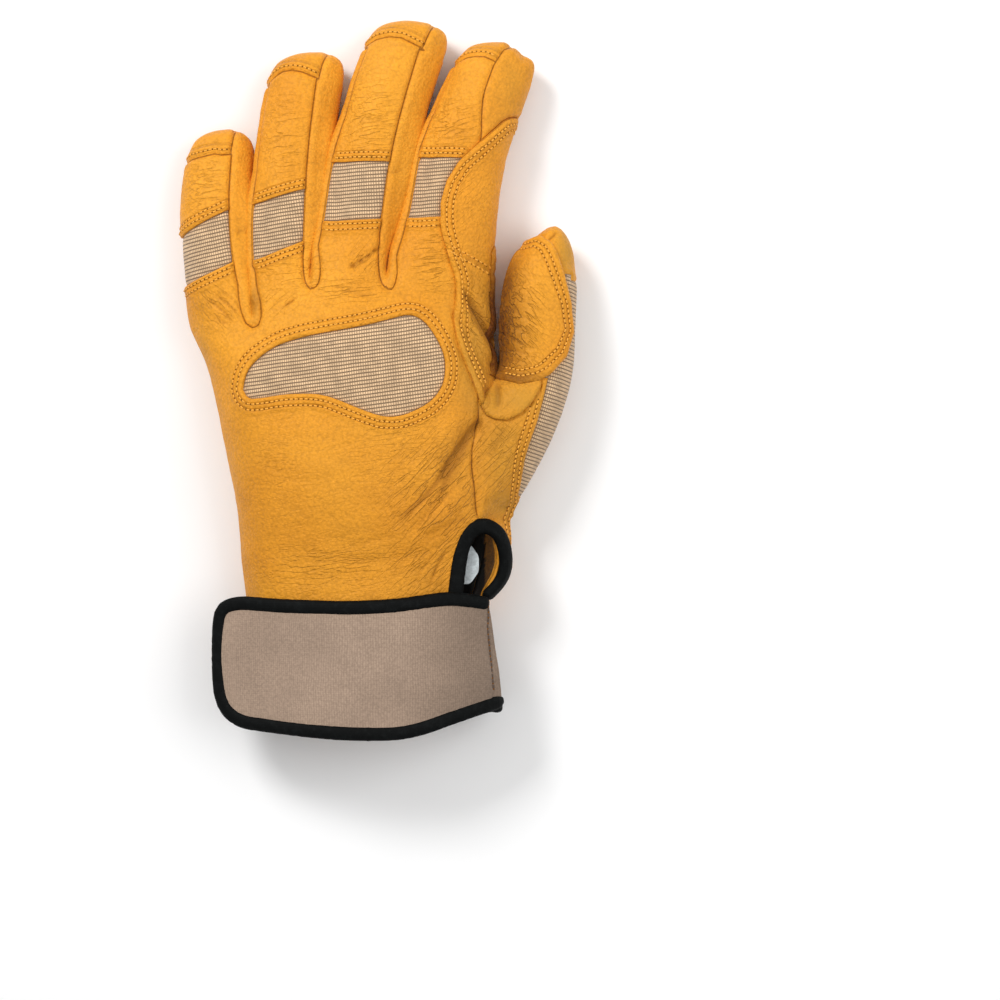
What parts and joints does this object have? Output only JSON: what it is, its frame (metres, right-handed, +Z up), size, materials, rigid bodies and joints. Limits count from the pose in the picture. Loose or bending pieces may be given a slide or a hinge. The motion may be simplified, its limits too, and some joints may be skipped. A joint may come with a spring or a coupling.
{
  "type": "climbing glove",
  "caption": "Left-hand full-finger leather work glove for rope handling, with stretch knuckle panels, a wrapped wrist strap and a clip hole in the cuff.",
  "frame": {"origin": "centre of the glove's bounding box in plan, at the surface that it lies on", "axes": "+Y along the hand from the cuff to the fingertips, +X towards the thumb, +Z up out of the back of the hand"},
  "size_m": [0.1387, 0.251, 0.0384],
  "materials": {
    "leather": "golden yellow grain leather",
    "stretch_fabric": "tan ribbed stretch fabric",
    "neoprene": "knit-faced neoprene, dull mauve tan",
    "binding": "black woven edge binding",
    "label": "plain pale woven label"
  },
  "bodies": {
    "root": {"back_panel": "leather", "cuff_band": "neoprene", "finger_back_index": "leather", "finger_back_little": "leather", "finger_back_middle": "leather", "finger_back_ring": "leather", "finger_front_index": "leather", "finger_front_little": "leather", "finger_front_middle": "leather", "finger_front_ring": "leather", "finger_inset_index": "stretch_fabric", "finger_inset_little": "stretch_fabric", "finger_inset_middle": "stretch_fabric", "finger_inset_ring": "stretch_fabric", "fingertip_index": "leather", "fingertip_little": "leather", "fingertip_middle": "leather", "fingertip_ring": "leather", "heel_panel": "leather", "heel_tab": "leather", "hem_binding": "binding", "index_side": "leather", "inner_label": "label", "knuckle_inset": "stretch_fabric", "palm_panel": "leather", "side_strip_little_ring": "leather", "side_strip_middle_index": "leather", "side_strip_ring_middle": "leather", "slit_binding": "binding", "strap_binding": "binding", "thumb_base": "leather", "thumb_front": "leather", "thumb_pad": "leather", "thumb_stretch": "stretch_fabric", "thumb_tip": "leather", "web_patch": "leather", "wrist_strap": "neoprene"}
  },
  "joints": []
}
